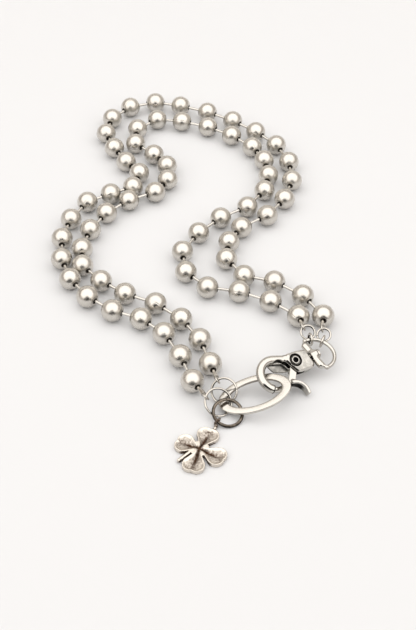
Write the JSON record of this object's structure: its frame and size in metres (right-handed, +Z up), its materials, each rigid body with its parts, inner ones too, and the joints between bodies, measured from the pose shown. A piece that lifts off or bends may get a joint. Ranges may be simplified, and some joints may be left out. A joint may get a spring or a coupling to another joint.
{
  "type": "double-strand ball chain necklace with clover charm",
  "caption": "Necklace of two strands of large hollow balls on dumbbell links, closed by a trigger clasp on an oval ring, with a four-leaf clover charm.",
  "frame": {"origin": "middle of the box round the necklace, on the surface that it lies on", "axes": "+Z up from the surface; +Y across the loop, away from the clasp and the charm; +X to the clasp's side"},
  "size_m": [0.1034, 0.2052, 0.0106],
  "materials": {
    "ball": "satin silver plate",
    "link": "oxidised silver plate",
    "ring": "polished silver plate",
    "oval_ring": "polished silver plate, softly worn",
    "clasp": "polished silver plate over a casting, dark in its grooves",
    "dark_ring": "oxidised wire",
    "clover": "antiqued pewter, brown in its sunk faces, bright on its raised rims"
  },
  "bodies": {
    "necklace": {"outer_balls": "ball", "outer_links": "link", "inner_balls": "ball", "inner_links": "link", "outer_ring_loop": "ring", "outer_clasp_loop": "ring", "inner_ring_loop": "ring", "inner_clasp_loop": "ring", "upper_jump_ring": "ring", "lower_jump_ring": "ring", "charm_ring": "dark_ring", "clover_charm": "clover", "oval_ring": "oval_ring", "clasp_body": "clasp", "clasp_rivet": "clasp", "swivel_ring": "clasp", "outer_end_ring": "ring", "outer_end_link": "ring", "inner_end_ring": "ring", "inner_end_link": "ring"},
    "trigger": {"clasp_trigger": "clasp"}
  },
  "joints": [
    {"name": "trigger_hinge", "type": "hinge", "parent": "necklace", "child": "trigger", "pos_m": [0.0359, -0.05931, 0.0064], "axis": [0.3471, -0.3391, 0.8744], "range_deg": [0, 30], "stiffness_Nm_per_rad": 0.01, "springref_deg": -8.59}
  ]
}
